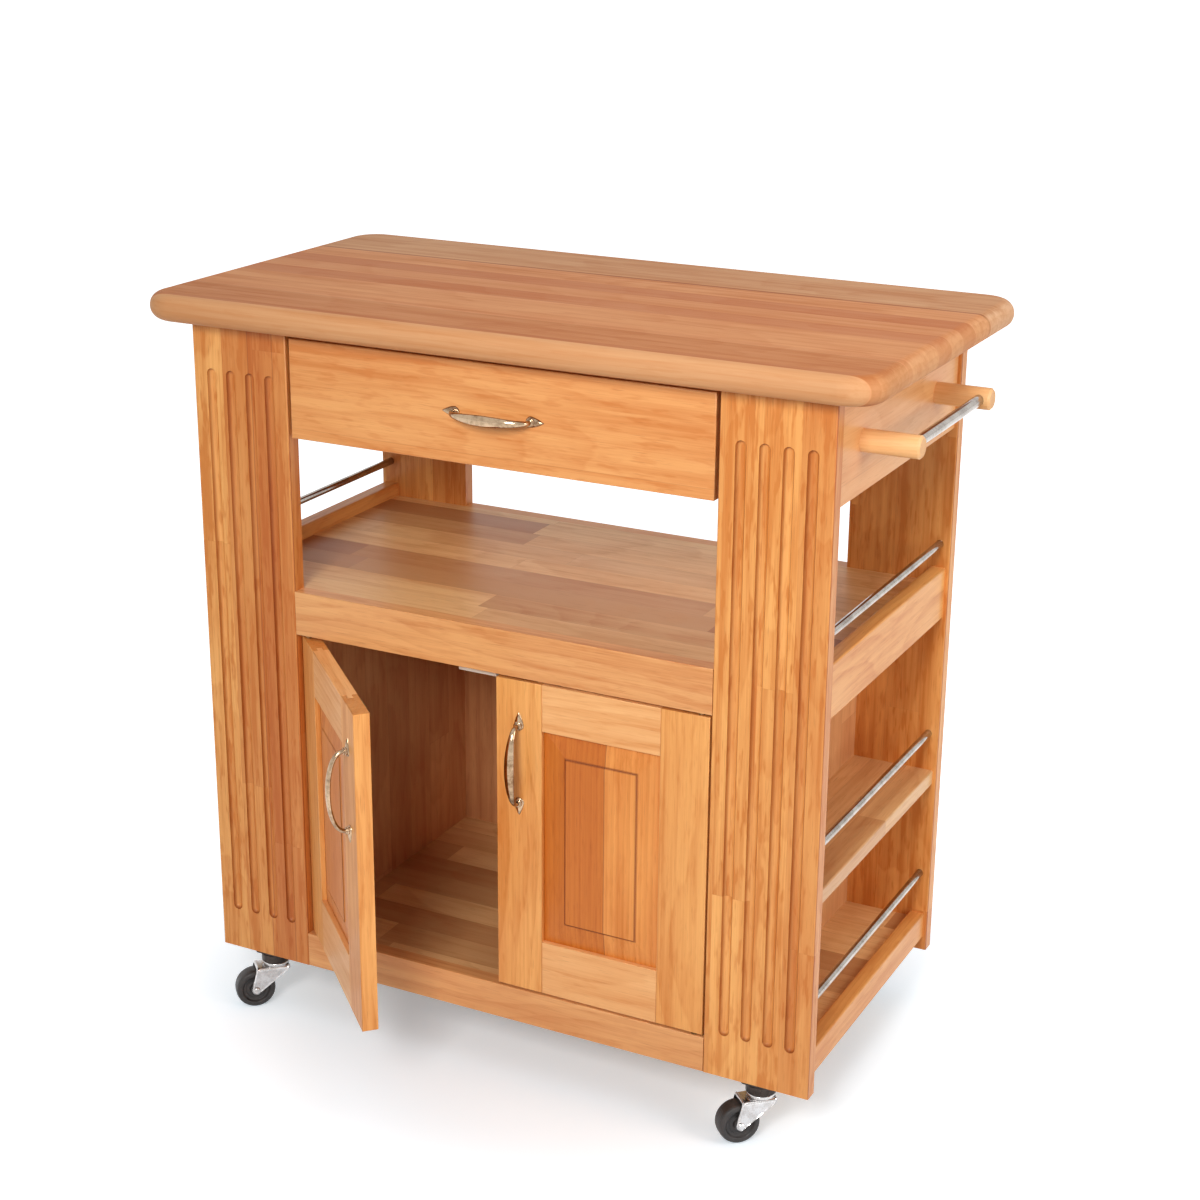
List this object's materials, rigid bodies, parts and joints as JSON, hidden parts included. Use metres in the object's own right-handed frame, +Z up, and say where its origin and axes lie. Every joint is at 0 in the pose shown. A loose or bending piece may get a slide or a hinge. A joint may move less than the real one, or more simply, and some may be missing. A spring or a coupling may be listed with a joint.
{
  "type": "kitchen island cart",
  "caption": "Rolling kitchen island with a butcher block top, a drawer, an open shelf, a two-door cabinet, racks at both ends and a side bar.",
  "frame": {"origin": "on the floor, under the middle of the carcass", "axes": "+X to the viewer's right along the width, -Y out of the front with the drawer and doors, +Z up"},
  "size_m": [0.9125, 0.6307, 0.914],
  "materials": {
    "butcher_block": "oiled glued-up hardwood staves, satin",
    "oiled_hardwood": "honey-coloured satin lacquer on straight-grained hardwood",
    "shelf_wood": "honey-coloured satin lacquer",
    "inner_wood": "clear-finished pale hardwood",
    "thin_board": "lacquered thin plywood",
    "bright_rod": "bright plated steel rod",
    "pull_metal": "polished nickel plate",
    "white_plastic": "moulded white plastic",
    "fitting_steel": "zinc-plated steel",
    "caster_plate_steel": "dark plated steel",
    "caster_chrome": "bright plated pressed steel",
    "caster_tyre": "black moulded wheel"
  },
  "bodies": {
    "carcass": {"worktop": "butcher_block", "panel_front_left": "oiled_hardwood", "panel_front_right": "oiled_hardwood", "panel_rear_left": "oiled_hardwood", "panel_rear_right": "oiled_hardwood", "end_apron_left": "oiled_hardwood", "end_apron_right": "oiled_hardwood", "rear_apron": "oiled_hardwood", "mid_front_rail": "oiled_hardwood", "mid_rear_rail": "oiled_hardwood", "bottom_front_rail": "oiled_hardwood", "bottom_rear_rail": "oiled_hardwood", "mid_shelf": "shelf_wood", "bottom_shelf": "shelf_wood", "mid_end_lips": "oiled_hardwood", "bottom_end_lips": "oiled_hardwood", "partition_left": "shelf_wood", "partition_right": "shelf_wood", "rack_shelf_left": "shelf_wood", "rack_shelf_right": "shelf_wood", "back_panel": "thin_board", "catch_cleat": "inner_wood", "magnetic_catches": "white_plastic", "pivot_bushes": "fitting_steel", "gallery_rods": "bright_rod", "side_bar_pegs": "oiled_hardwood", "side_bar": "bright_rod", "drawer_bearers": "inner_wood", "drawer_runners": "inner_wood", "caster_blocks": "inner_wood", "caster_plates": "caster_plate_steel"},
    "drawer": {"drawer_front": "oiled_hardwood", "drawer_box_front": "inner_wood", "drawer_side_left": "inner_wood", "drawer_side_right": "inner_wood", "drawer_back": "inner_wood", "drawer_bottom": "thin_board", "drawer_pull": "pull_metal"},
    "left_door": {"left_door_hinge_stile": "oiled_hardwood", "left_door_free_stile": "oiled_hardwood", "left_door_top_rail": "oiled_hardwood", "left_door_bottom_rail": "oiled_hardwood", "left_door_raised_panel": "oiled_hardwood", "left_door_pull": "pull_metal", "left_door_fittings": "fitting_steel"},
    "right_door": {"right_door_hinge_stile": "oiled_hardwood", "right_door_free_stile": "oiled_hardwood", "right_door_top_rail": "oiled_hardwood", "right_door_bottom_rail": "oiled_hardwood", "right_door_raised_panel": "oiled_hardwood", "right_door_pull": "pull_metal", "right_door_fittings": "fitting_steel"},
    "swivel_front_left": {"caster_fork_front_left": "caster_chrome"},
    "roller_front_left": {"caster_wheel_front_left": "caster_tyre"},
    "swivel_front_right": {"caster_fork_front_right": "caster_chrome"},
    "roller_front_right": {"caster_wheel_front_right": "caster_tyre"},
    "swivel_rear_left": {"caster_fork_rear_left": "caster_chrome"},
    "roller_rear_left": {"caster_wheel_rear_left": "caster_tyre"},
    "swivel_rear_right": {"caster_fork_rear_right": "caster_chrome"},
    "roller_rear_right": {"caster_wheel_rear_right": "caster_tyre"}
  },
  "joints": [
    {"name": "drawer_slide", "type": "slide", "parent": "carcass", "child": "drawer", "axis": [0, -1, 0], "range_m": [0, 0.26]},
    {"name": "left_door_hinge", "type": "hinge", "parent": "carcass", "child": "left_door", "pos_m": [-0.256, -0.203, 0.318], "axis": [0, 0, -1], "range_deg": [-44, 66]},
    {"name": "right_door_hinge", "type": "hinge", "parent": "carcass", "child": "right_door", "pos_m": [0.256, -0.203, 0.318], "axis": [0, 0, 1], "range_deg": [0, 110]},
    {"name": "swivel_front_left", "type": "hinge", "parent": "carcass", "child": "swivel_front_left", "pos_m": [-0.335, -0.189, 0.061], "axis": [0, 0, 1], "continuous": true},
    {"name": "roll_front_left", "type": "hinge", "parent": "swivel_front_left", "child": "roller_front_left", "pos_m": [-0.35514, -0.20845, 0.025], "axis": [0.6947, -0.7193, 0], "continuous": true},
    {"name": "swivel_front_right", "type": "hinge", "parent": "carcass", "child": "swivel_front_right", "pos_m": [0.335, -0.189, 0.061], "axis": [0, 0, 1], "continuous": true},
    {"name": "roll_front_right", "type": "hinge", "parent": "swivel_front_right", "child": "roller_front_right", "pos_m": [0.31486, -0.20845, 0.025], "axis": [0.6947, -0.7193, 0], "continuous": true},
    {"name": "swivel_rear_left", "type": "hinge", "parent": "carcass", "child": "swivel_rear_left", "pos_m": [-0.335, 0.189, 0.061], "axis": [0, 0, 1], "continuous": true},
    {"name": "roll_rear_left", "type": "hinge", "parent": "swivel_rear_left", "child": "roller_rear_left", "pos_m": [-0.35514, 0.16955, 0.025], "axis": [0.6947, -0.7193, 0], "continuous": true},
    {"name": "swivel_rear_right", "type": "hinge", "parent": "carcass", "child": "swivel_rear_right", "pos_m": [0.335, 0.189, 0.061], "axis": [0, 0, 1], "continuous": true},
    {"name": "roll_rear_right", "type": "hinge", "parent": "swivel_rear_right", "child": "roller_rear_right", "pos_m": [0.31486, 0.16955, 0.025], "axis": [0.6947, -0.7193, 0], "continuous": true}
  ]
}
